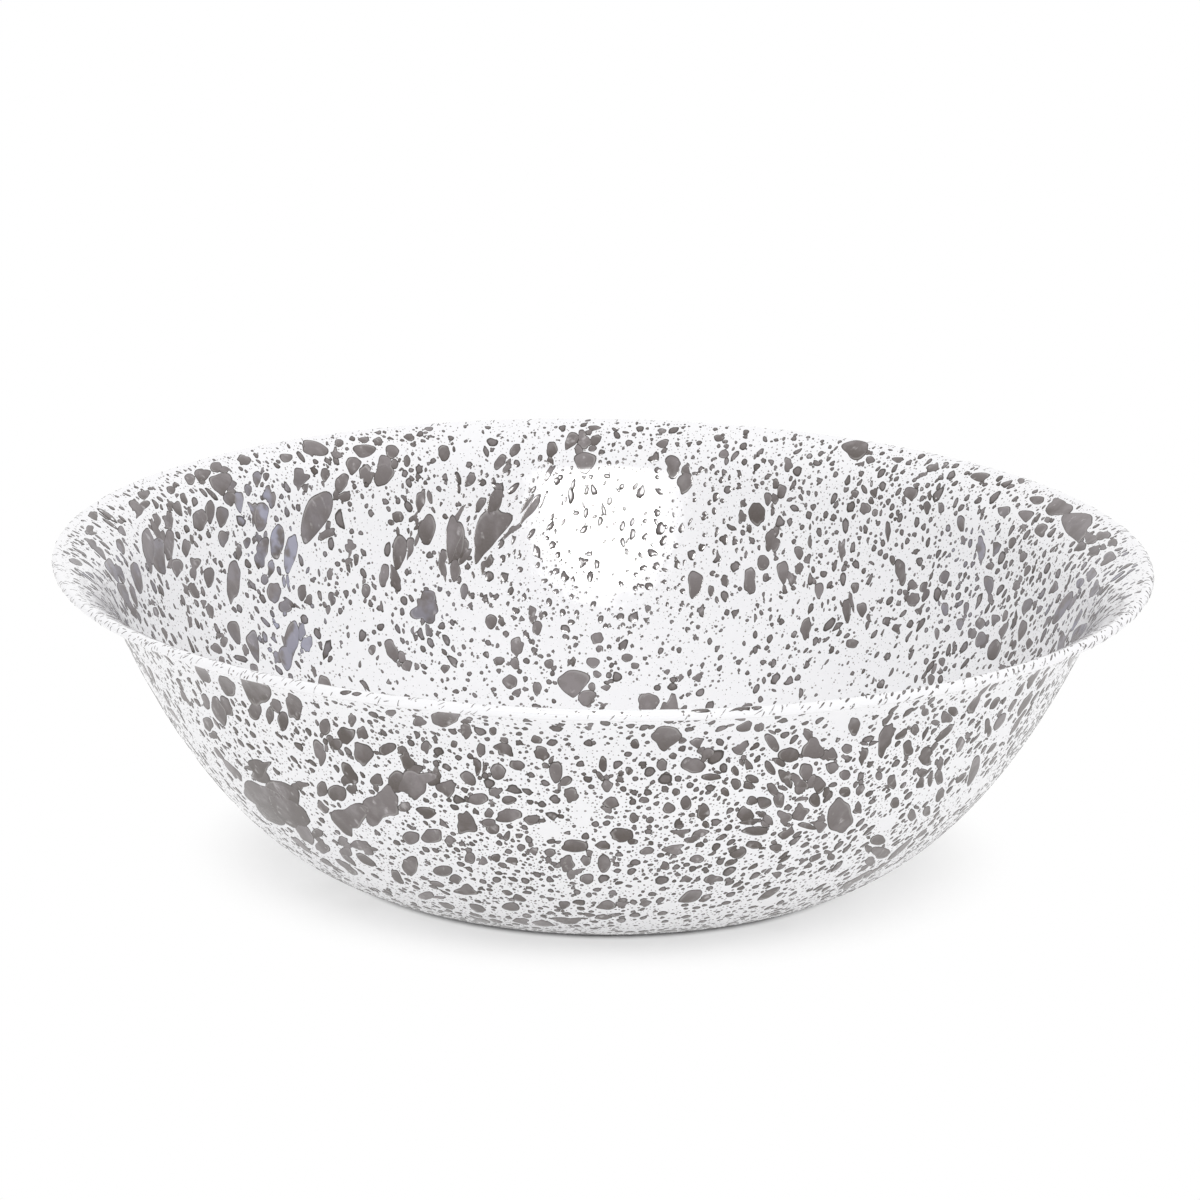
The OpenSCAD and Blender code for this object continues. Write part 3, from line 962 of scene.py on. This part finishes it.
# Large drops in view on the inner wall: px, py, width px, height px, degrees to the right
left_wall_drops = [
    (315, 517, 25, 61, 24), (149, 547, 14, 38, -8), (159, 556, 14, 44, -6),
    (137, 578, 10, 36, -14), (169, 545, 11, 34, 4), (124, 594, 8, 28, -22), (113, 571, 8, 30, -28),
    (121, 547, 8, 17, -22), (89, 530, 8, 11, 60), (94, 516, 9, 11, -40), (122, 531, 7, 12, -35),
    (157, 521, 8, 16, -10), (92, 544, 7, 18, -40), (101, 553, 6, 18, -38), (76, 562, 6, 16, -65),
    (210, 611, 8, 17, -10), (224, 642, 8, 12, 0), (217, 649, 9, 15, -50), (190, 622, 5, 14, -8),
    (156, 612, 6, 12, -20), (165, 634, 5, 14, -20), (171, 490, 9, 10, -10), (178, 509, 9, 18, -25),
    (184, 499, 7, 14, -25), (223, 539, 11, 18, 0), (247, 543, 7, 14, 0), (266, 477, 7, 10, 0),
    (170, 520, 8, 18, 0), (139, 508, 15, 18, 10), (142, 495, 9, 9, 0), (233, 583, 15, 43, 4),
    (221, 484, 23, 23, 0), (216, 467, 13, 12, 0), (244, 460, 15, 11, 0), (200, 475, 12, 14, 0),
    (222, 517, 13, 23, 0), (200, 520, 15, 25, 0), (186, 548, 9, 20, 0), (194, 569, 10, 23, 0),
    (209, 578, 11, 23, 0), (177, 568, 12, 20, 0), (272, 500, 9, 18, 5), (302, 593, 10, 18, 0),
    (274, 593, 15, 23, 0), (332, 599, 8, 15, 0), (328, 610, 6, 11, 0), (315, 448, 28, 15, 25),
    (339, 443, 10, 9, 0), (286, 458, 14, 10, 0), (300, 479, 15, 23, 5), (325, 475, 10, 15, 5),
    (341, 484, 13, 23, 24), (353, 466, 15, 20, 10), (364, 451, 23, 15, 0), (378, 442, 12, 9, 0),
    (384, 471, 20, 33, 10), (392, 452, 15, 15, 0), (407, 461, 8, 13, 0), (444, 453, 13, 18, 0),
    (429, 429, 10, 5, 0), (420, 502, 10, 23, 5), (350, 548, 10, 18, 5), (356, 560, 6, 15, 0),
    (328, 526, 6, 13, 10), (384, 576, 11, 25, 5), (399, 553, 15, 38, 6), (427, 530, 18, 33, 5),
    (453, 540, 15, 51, 8), (425, 611, 28, 25, 0), (366, 591, 10, 16, 0), (413, 632, 5, 11, 0),
    (372, 650, 9, 11, 0), (235, 633, 12, 27, -18), (254, 647, 12, 34, -12),
    (286, 658, 14, 28, -15), (307, 644, 11, 20, 5), (261, 517, 15, 33, 4), (261, 555, 15, 30, 4),
    (277, 542, 15, 38, 6), (290, 555, 13, 43, 10), (292, 639, 15, 38, 5), (135, 506, 10, 16, -8),
    (144, 495, 12, 10, 0), (190, 479, 12, 12, 0), (204, 475, 14, 12, 0), (210, 512, 10, 26, -2),
    (230, 486, 12, 14, 0), (230, 499, 14, 16, -4), (239, 502, 10, 24, -6), (248, 490, 8, 14, 0),
    (257, 479, 9, 18, 0), (254, 513, 9, 24, -4), (311, 451, 18, 10, 20), (422, 499, 8, 20, 8),
    (463, 548, 10, 26, 10), (443, 559, 8, 22, 10), (410, 548, 8, 24, 10), (330, 574, 7, 14, 5),
    (480, 505, 9, 20, 30), (470, 480, 10, 18, 30), (500, 462, 10, 20, 35), (515, 450, 10, 16, 35),
]
back_wall_drops = [
    (488, 534, 27, 63, 28), (530, 510, 8, 40, 35), (548, 475, 6, 26, 30), (455, 542, 20, 45, 5),
    (585, 463, 22, 24, 0), (571, 441, 12, 22, 35), (582, 438, 9, 18, 35), (579, 451, 10, 10, 0),
    (594, 428, 14, 6, 0), (662, 431, 10, 6, 0), (663, 444, 13, 10, -20), (673, 467, 18, 22, 10),
    (685, 483, 16, 24, 20), (719, 438, 12, 8, 0), (532, 612, 9, 14, 0), (537, 628, 11, 17, 5),
    (517, 647, 14, 21, 8), (491, 622, 13, 17, 0), (499, 661, 13, 10, 0), (510, 682, 15, 17, 0),
    (537, 689, 10, 16, 0), (549, 664, 11, 11, 0), (593, 663, 14, 13, 0), (573, 662, 7, 11, 0),
    (573, 684, 31, 29, 0), (592, 687, 9, 10, 0), (606, 688, 11, 7, 0), (589, 701, 13, 8, 0),
    (603, 705, 9, 6, 0), (627, 658, 13, 10, 0), (648, 609, 7, 10, 0), (667, 672, 7, 7, 0),
    (680, 678, 8, 8, 0), (698, 678, 10, 10, 0), (698, 627, 6, 6, 0), (464, 592, 9, 18, 0),
    (429, 609, 12, 30, 0), (407, 666, 11, 14, 0), (445, 669, 10, 10, 0), (695, 585, 16, 30, 5),
    (711, 591, 7, 14, 0), (725, 581, 9, 14, 0), (748, 578, 7, 21, 0),
]
right_wall_drops = [
    (788, 465, 10, 15, 0), (774, 437, 11, 10, 0), (856, 449, 28, 20, 0), (870, 460, 10, 9, 0),
    (926, 460, 30, 8, 0), (898, 460, 12, 7, 0), (980, 477, 20, 10, 0), (1021, 481, 9, 6, 0),
    (1037, 500, 15, 10, 0), (1059, 508, 25, 20, 0), (1077, 527, 33, 28, 0), (1026, 516, 15, 13, 0),
    (1041, 530, 13, 15, 0), (927, 508, 8, 15, 0), (941, 508, 7, 13, 0), (911, 494, 15, 15, 0),
    (874, 493, 8, 11, 0), (855, 494, 9, 9, 0), (1004, 512, 13, 13, 0), (757, 514, 17, 27, 0),
    (742, 517, 9, 15, 0), (768, 499, 9, 15, 0), (772, 542, 15, 25, 0), (783, 573, 12, 26, -4),
    (763, 563, 13, 18, 0), (750, 581, 13, 31, 0), (819, 591, 10, 18, 0), (799, 553, 10, 15, 0),
    (799, 569, 10, 13, 0), (901, 573, 13, 25, -4), (888, 532, 6, 23, 0), (842, 550, 8, 23, 0),
    (810, 542, 5, 15, 0), (989, 586, 10, 23, -5), (913, 600, 15, 15, 0), (945, 609, 8, 16, -5),
    (1022, 631, 9, 22, 15), (1062, 609, 10, 38, 32), (994, 650, 13, 24, 20), (806, 629, 11, 25, 0),
    (847, 611, 9, 28, 0), (862, 610, 10, 18, 0), (852, 644, 15, 10, 0), (897, 629, 9, 12, 0),
    (855, 588, 9, 13, 0), (981, 550, 9, 30, -4), (961, 524, 8, 20, -4), (1080, 547, 9, 15, 55),
    (1094, 551, 10, 16, 55), (1108, 559, 10, 19, 62), (1102, 536, 9, 18, 75),
    (1112, 543, 8, 12, 60), (1091, 575, 9, 16, 30), (1080, 583, 7, 13, 30), (1094, 590, 8, 18, 28),
    (1027, 606, 10, 18, 25), (1029, 644, 7, 12, 15), (1016, 586, 8, 12, 20),
    (1023, 557, 8, 13, 20), (1027, 571, 6, 14, 25), (996, 549, 8, 17, 12), (1012, 543, 8, 13, 25),
    (990, 566, 8, 10, 60), (995, 620, 9, 13, 15), (981, 640, 12, 18, 20), (966, 609, 6, 16, 10),
    (960, 624, 8, 14, 8), (970, 633, 5, 12, 15), (1002, 668, 8, 8, 20), (931, 680, 8, 13, 5),
    (942, 662, 7, 11, 0), (937, 634, 6, 13, 0), (1039, 610, 5, 12, 30), (1047, 622, 5, 14, 32),
    (1014, 645, 5, 12, 20), (1054, 588, 7, 16, 30), (1079, 633, 9, 26, 38),
]

roll_start = inside.travel[fine_roll]
inside_rng = np.random.default_rng(11)
inside_tray, inside_marked, inside_clinging, inside_blots = begun(
    inside, left_wall_drops + back_wall_drops + right_wall_drops,
    lambda travel: travel > roll_start - 0.5 * mm, roll_start - 4 * mm, (55, 9, 15), inside_rng)
splatter("inside_landmarks", inside, Drops.joined([inside_marked, inside_clinging]), broad_form,
         "splatter_inside")
splatter("inside_blots", inside, inside_blots, broad_form, "splatter_inside")
sprinkle("inside", inside_tray,
         [(150, 4.5, 8, 0.3), (1950, 2.4, 4.6, 1), (3700, 1.4, 2.6, 1), (13500, 0.8, 1.6, 1),
          (8500, 0.6, 1.0, 1)], "splatter_inside", inside_rng)

# Large drops in view on the outer wall, with the same columns
outer_left_drops = [
    (262, 797, 24, 46, -62), (288, 812, 24, 52, -52), (270, 812, 18, 40, -48),
    (279, 792, 20, 34, -70), (305, 834, 12, 28, -40), (259, 769, 19, 21, 0),
    (255, 688, 21, 42, -42), (227, 685, 14, 26, -35), (203, 673, 11, 24, -35),
    (294, 705, 16, 30, -15), (283, 721, 12, 21, 0), (270, 715, 9, 19, 0), (255, 711, 14, 19, 0),
    (219, 711, 13, 32, -20), (208, 724, 10, 16, -20), (325, 727, 12, 19, 0), (346, 736, 18, 19, 0),
    (352, 720, 9, 15, 0), (391, 713, 12, 8, 0), (419, 721, 14, 12, 0), (445, 718, 31, 17, 0),
    (466, 730, 12, 18, 0), (387, 749, 17, 14, 0), (402, 750, 10, 11, 0), (426, 747, 11, 14, 0),
    (454, 744, 8, 9, 0), (381, 806, 33, 40, 0), (397, 782, 19, 24, 0), (377, 780, 14, 14, 0),
    (417, 786, 19, 28, 0), (447, 789, 19, 19, 0), (337, 793, 17, 21, 0), (322, 789, 12, 17, 0),
    (349, 820, 30, 36, 0), (427, 813, 21, 12, 0), (411, 838, 19, 14, 0), (432, 836, 21, 17, 0),
    (320, 753, 12, 26, 0), (360, 845, 19, 12, 0), (346, 852, 14, 10, 0), (410, 867, 17, 21, 0),
    (443, 871, 21, 12, 0), (466, 890, 21, 12, 0), (426, 896, 16, 9, 0), (322, 847, 14, 14, 0),
]
outer_middle_drops = [
    (666, 737, 31, 25, 0), (682, 740, 10, 8, 0), (556, 772, 13, 27, 0), (498, 772, 17, 18, 0),
    (481, 750, 10, 16, 0), (478, 768, 7, 18, 0), (493, 731, 9, 10, 0), (589, 727, 10, 7, 0),
    (635, 744, 10, 12, 0), (697, 743, 14, 12, 0), (758, 728, 10, 9, 0), (693, 765, 22, 20, 0),
    (662, 765, 12, 14, 0), (673, 756, 9, 8, 0), (711, 777, 22, 8, 0), (741, 748, 16, 14, 0),
    (603, 764, 9, 18, 0), (607, 786, 13, 13, 0), (620, 779, 9, 9, 0), (629, 771, 9, 9, 0),
    (478, 799, 22, 13, 0), (509, 800, 16, 10, 0), (509, 815, 27, 15, 0), (489, 813, 10, 11, 0),
    (493, 829, 15, 12, 0), (466, 823, 20, 25, 0), (507, 836, 7, 12, 25), (519, 836, 9, 6, 0),
    (575, 846, 29, 14, 0), (567, 864, 16, 18, 0), (586, 861, 11, 12, 0), (604, 864, 14, 20, 0),
    (603, 845, 16, 10, 0), (587, 879, 15, 12, 0), (550, 853, 12, 10, 0), (521, 848, 10, 8, 0),
    (534, 851, 10, 9, 0), (470, 858, 12, 13, 0), (483, 861, 9, 10, 0), (496, 858, 10, 10, 0),
    (669, 808, 14, 12, 0), (686, 803, 12, 16, 0), (703, 812, 14, 18, 0), (644, 800, 11, 8, 0),
    (634, 818, 10, 12, 0), (650, 820, 9, 8, 0), (676, 792, 9, 9, 0), (665, 789, 9, 8, 0),
    (674, 850, 22, 11, 0), (647, 851, 15, 9, 0), (697, 859, 16, 9, 0), (665, 866, 10, 10, 0),
    (681, 833, 17, 9, 0), (701, 833, 14, 10, 0), (764, 803, 16, 13, 0), (745, 814, 17, 17, 0),
    (756, 831, 29, 10, 0), (754, 845, 18, 9, 0), (736, 784, 12, 12, 0), (752, 779, 16, 9, 20),
    (713, 879, 20, 9, 0), (686, 879, 12, 8, 0), (607, 905, 19, 11, 0), (511, 907, 20, 9, 0),
    (564, 905, 12, 9, 0), (645, 903, 12, 9, 0), (603, 917, 18, 6, 0), (568, 921, 27, 8, 0),
    (589, 895, 7, 6, 0), (613, 893, 9, 7, 0),
]
outer_right_drops = [
    (840, 816, 27, 36, 0), (813, 748, 22, 24, 0), (789, 755, 22, 17, 0), (806, 772, 14, 20, 10),
    (819, 785, 14, 18, -10), (800, 789, 12, 12, 0), (832, 768, 14, 13, 0), (800, 813, 16, 18, 0),
    (779, 800, 12, 18, 0), (854, 726, 13, 20, 0), (885, 741, 13, 40, 18), (915, 729, 9, 11, 0),
    (908, 748, 11, 18, 0), (926, 757, 15, 19, 0), (847, 749, 12, 11, 0), (863, 756, 10, 17, 0),
    (925, 712, 9, 9, 0), (939, 777, 9, 17, 0), (878, 840, 17, 11, 0), (881, 853, 21, 12, 0),
    (807, 826, 19, 7, 15), (776, 848, 13, 10, 0), (816, 847, 7, 6, 0), (831, 857, 9, 8, 0),
    (777, 875, 9, 8, 0), (912, 815, 9, 13, 0), (974, 770, 8, 36, 18), (988, 728, 7, 20, 8),
    (892, 782, 9, 18, 0), (879, 776, 8, 10, 0), (786, 779, 20, 12, 50), (799, 782, 18, 14, 40),
    (772, 742, 24, 11, 55), (770, 768, 18, 9, 60), (832, 754, 12, 14, 0), (773, 790, 18, 10, 55),
    (815, 800, 12, 16, 0), (820, 827, 13, 13, 0), (785, 818, 14, 16, 20), (845, 792, 12, 12, 0),
    (768, 820, 14, 9, 50), (748, 765, 14, 8, 60), (735, 771, 12, 8, 60), (725, 792, 12, 8, 60),
    (808, 735, 18, 9, 60), (845, 775, 12, 12, 20), (921, 782, 8, 14, 10), (953, 711, 12, 10, 40),
    (946, 718, 14, 12, 30), (915, 730, 8, 12, 10), (927, 811, 8, 12, 20), (860, 790, 8, 14, 20),
    (858, 808, 10, 12, 0), (895, 803, 10, 12, 30), (940, 795, 8, 16, 25), (960, 745, 8, 18, 20),
]

# The ring that the basin stands on stays bare, where the ware rests when it is fired
outside_rng = np.random.default_rng(23)
stand_inner = base_d / 2 - stand_w - panel_step
wall_start = 3 * flat_parts * fineness
stand_outer = np.interp(0.2 * mm, outside.height[wall_start:], outside.travel[wall_start:])
outside_tray, outside_marked, outside_clinging, outside_blots = begun(
    outside, outer_left_drops + outer_middle_drops + outer_right_drops,
    lambda travel: (((travel > stand_inner) & (travel < stand_outer))
                    | (travel > outside.travel[-1] - 1.5 * mm)),
    outside.travel[-1], (45, 8, 14), outside_rng)
splatter("outside_blots", outside,
         Drops.joined([outside_marked, outside_blots, outside_clinging]), broad_form,
         "splatter_outside")
sprinkle("outside", outside_tray,
         [(180, 4.5, 8, 0.6), (2150, 2.5, 4.8, 1), (3900, 1.4, 2.8, 1), (14500, 0.8, 1.6, 1),
          (9500, 0.6, 1.0, 1)], "splatter_outside", outside_rng)

# The rim's streaks: thin drops that ran and broke over the bead before firing. They lie aslant
# over its top, close together on the left and right and scarce along the front, where a few
# broader ones lie along it.
rim_rng = np.random.default_rng(37)
streaks = 2600
streak_rise = 0.1 * mm
streak_form = (12, [(0, 0), (0.15 * mm, 0.9)], 0)
rim_drops, _, _ = fresh(inside, *anywhere(inside, streaks, rim_rng), 0.35 * mm, 0.9 * mm, rim_rng)
rim_drops.travel = roll_start + rim_rng.uniform(-0.5, 4.6, streaks) * mm
rim_drops.taper = rim_rng.uniform(-0.8, 0.8, streaks)
rim_px = photo_pixel(inside.point(rim_drops.travel, rim_drops.azimuth, 0.0))[0]
rim_front = np.sin(rim_drops.azimuth) < 0
# Along the front: px, share of the streaks that are there, width in mm. Along the back a
# quarter of them are there
rim_places, rim_shares, rim_widths = np.array([
    (60, 1.0, 0.3), (180, 1.0, 0.3), (350, 0.7, 0.4), (420, 0.2, 0.3), (700, 0.15, 0.3),
    (840, 0.5, 0.6), (900, 0.9, 0.75), (1150, 1.0, 0.7)]).T
rim_cover = np.where(rim_front, np.interp(rim_px, rim_places, rim_shares), 0.25)
rim_width = np.where(rim_front, np.interp(rim_px, rim_places, rim_widths), 0.4)
rim_drops.stretch = shaped(rim_rng.uniform(1.6, 4.5, streaks) * mm,
                           rim_rng.uniform(0.6, 1.3, streaks) * rim_width * mm,
                           rim_rng.normal(-0.7, 0.3, streaks))
rim_drops = rim_drops.only(rim_rng.random(streaks) < rim_cover)
# Broad ones along the front: px, how far over the bead in mm, length mm, width mm, lean degrees
rim_patches = [
    (346, 2.4, 4.2, 1.8, -75), (357, 2.3, 3.6, 1.6, -80), (594, 2.0, 1.2, 1.0, 0),
    (622, 2.2, 1.2, 1.0, 0), (683, 2.0, 1.5, 1.1, 0), (701, 1.6, 7.0, 1.7, -88),
    (741, 1.6, 6.2, 2.1, -88), (757, 1.5, 4.2, 1.9, -85), (848, 1.6, 3.2, 0.9, -50),
    (873, 1.5, 3.2, 1.0, -50), (893, 1.5, 3.0, 0.9, -45), (905, 1.4, 3.2, 1.2, -45),
    (913, 1.4, 3.0, 1.0, -45), (920, 1.4, 3.2, 1.1, -45), (928, 1.4, 2.8, 1.0, -45),
    (938, 1.5, 3.0, 1.0, -50),
]
patch_px, patch_over, patch_length, patch_width, patch_lean = np.array(rim_patches).T
front_azimuth = np.linspace(-math.pi, 0, 721)
front_travel = np.full(len(front_azimuth), roll_start + 2 * mm)
front_px = photo_pixel(inside.point(front_travel, front_azimuth, 0.0))[0]
rim_broad = Drops(travel=roll_start + patch_over * mm,
                  azimuth=np.interp(patch_px, front_px, front_azimuth),
                  stretch=shaped(patch_length * mm, patch_width * mm, np.radians(patch_lean)),
                  **character(np.zeros(len(patch_px)), rim_rng))
rim_tray = Tray(inside, rim_broad, 0, rim_rng)
streak_gap = 0.1 * mm
rim_tray.taken[rim_tray.cells(rim_broad, np.full(len(rim_broad), streak_gap))] = 1
rim_drops = rim_drops.only(rim_tray.take([rim_drops], np.full(len(rim_drops), streak_gap)))
splatter("rim_streaks", inside, Drops.joined([rim_drops, rim_broad]), streak_form, "splatter_rim",
         streak_rise)

# The table and the light: a plain white sweep under soft light from all round, a little more
# of it from the front. One lamp stands for the light that the sweep throws back up, so the
# table lets it through outside a disc under the basin. Two broad lamps only show in the gloss.
disc_r = 107 * mm
table_r = 8.0
table_sides = 128
turn = 2 * math.pi * np.arange(table_sides) / table_sides
circle = np.stack([np.cos(turn), np.sin(turn), np.zeros(table_sides)], axis=-1)
this = np.arange(table_sides)
following = np.roll(this, -1)
ring_faces = np.stack([this, this + table_sides, following + table_sides, following], axis=-1)
tables = []
for name, corners, faces in (("table_middle", disc_r * circle, this[None, :]),
                             ("table", np.concatenate([disc_r * circle, table_r * circle]),
                              ring_faces)):
    table_data = bpy.data.meshes.new(name)
    table_data.from_pydata(corners.tolist(), [], faces.tolist())
    tables.append(bpy.data.objects.new(name, table_data))
    bpy.context.scene.collection.objects.link(tables[-1])


def background_ray(finish):
    """1 for a ray that shows the background: the camera's, or one seen in gloss or glass."""
    path = finish.node("ShaderNodeLightPath")
    return (finish.value(path, "Is Camera Ray") + finish.value(path, "Is Glossy Ray")
            + finish.value(path, "Is Transmission Ray")) > 0.5


# The paper has a painted contact shadow, dark under the basin's edge, takes a soft shadow round it
# and glows white further off
paper = Finish("table_white")
reaches = []
for narrowing in (0.95, 0.84):
    narrowed = paper.node("ShaderNodeMapping", None,
                          {"Vector": paper.place, "Scale": (narrowing, 1, 1)})
    reaches.append(paper.value(paper.node("ShaderNodeVectorMath", {"operation": "LENGTH"},
                                          {"Vector": narrowed.outputs[0]}), "Value"))
far = (0.65 * paper.steps(reaches[0], 91.5 * mm, 97 * mm)
       + 0.35 * paper.steps(reaches[1], 98 * mm, 132 * mm))
# A painted contact shadow: the paper's colour is dark within about 90 mm of the middle
paper_painted_shadow = paper.mixed(paper.steps(reaches[0], 88 * mm, 93 * mm), (0.12, 0.12, 0.12, 1),
                           (0.93, 0.93, 0.93, 1))
lit = paper.node("ShaderNodeBsdfDiffuse", None, {"Color": paper_painted_shadow})
glow = paper.node("ShaderNodeEmission", None, {"Color": (1, 1, 1, 1), "Strength": 1.0})
blend = paper.node("ShaderNodeMixShader", None,
                   {0: far * background_ray(paper), 1: lit.outputs[0], 2: glow.outputs[0]})
paper.node("ShaderNodeOutputMaterial", None, {"Surface": blend.outputs[0]})
for table in tables:
    dress(table, paper)
tables[1].visible_shadow = False

# The air round the basin is a little darker than the background
ambient = 0.925
studio = Finish("studio", bpy.data.worlds)
air_strength = ambient + (1 - ambient) * background_ray(studio)
air = studio.node("ShaderNodeBackground", None, {"Color": (1, 1, 1, 1), "Strength": air_strength})
studio.node("ShaderNodeOutputWorld", None, {"Surface": air.outputs[0]})
bpy.context.scene.world = studio.made


def lamp(name, kind, elevation, azimuth, distance, settings):
    """A lamp that looks at the basin's middle from an elevation and an azimuth in degrees."""
    data = bpy.data.lights.new(name, kind)
    for setting, value in settings.items():
        setattr(data, setting, value)
    rise, turn = math.radians(elevation), math.radians(azimuth)
    level = math.cos(rise)
    way = np.array([level * math.cos(turn), level * math.sin(turn), math.sin(rise)])
    side = np.cross([0, 0, 1], way)
    side = side / np.linalg.norm(side)
    spot = np.array([0, 0, 60 * mm]) + distance * way
    axes = np.column_stack([side, np.cross(way, side), way, spot])
    piece = bpy.data.objects.new(name, data)
    piece.matrix_world = Matrix(np.vstack([axes, [0, 0, 0, 1]]).tolist())
    bpy.context.scene.collection.objects.link(piece)
    return piece


sun_angle = math.radians(45)
for name, elevation, azimuth, energy in (("key", 60, -74, 0.84), ("bounce", -50, -90, 0.45)):
    sun = lamp(name, "SUN", elevation, azimuth, 2.0, {"energy": energy, "angle": sun_angle})
    sun.visible_glossy = False
for name, energy, width, height in (("softbox", 52.0, 0.74, 0.6), ("softbox_edge", 5.0, 1.0, 0.85)):
    box = lamp(name, "AREA", 40, -90, 1.5,
               {"energy": energy, "shape": "ELLIPSE", "size": width, "size_y": height})
    box.visible_diffuse = False

bpy.context.scene.view_settings.view_transform = "Standard"
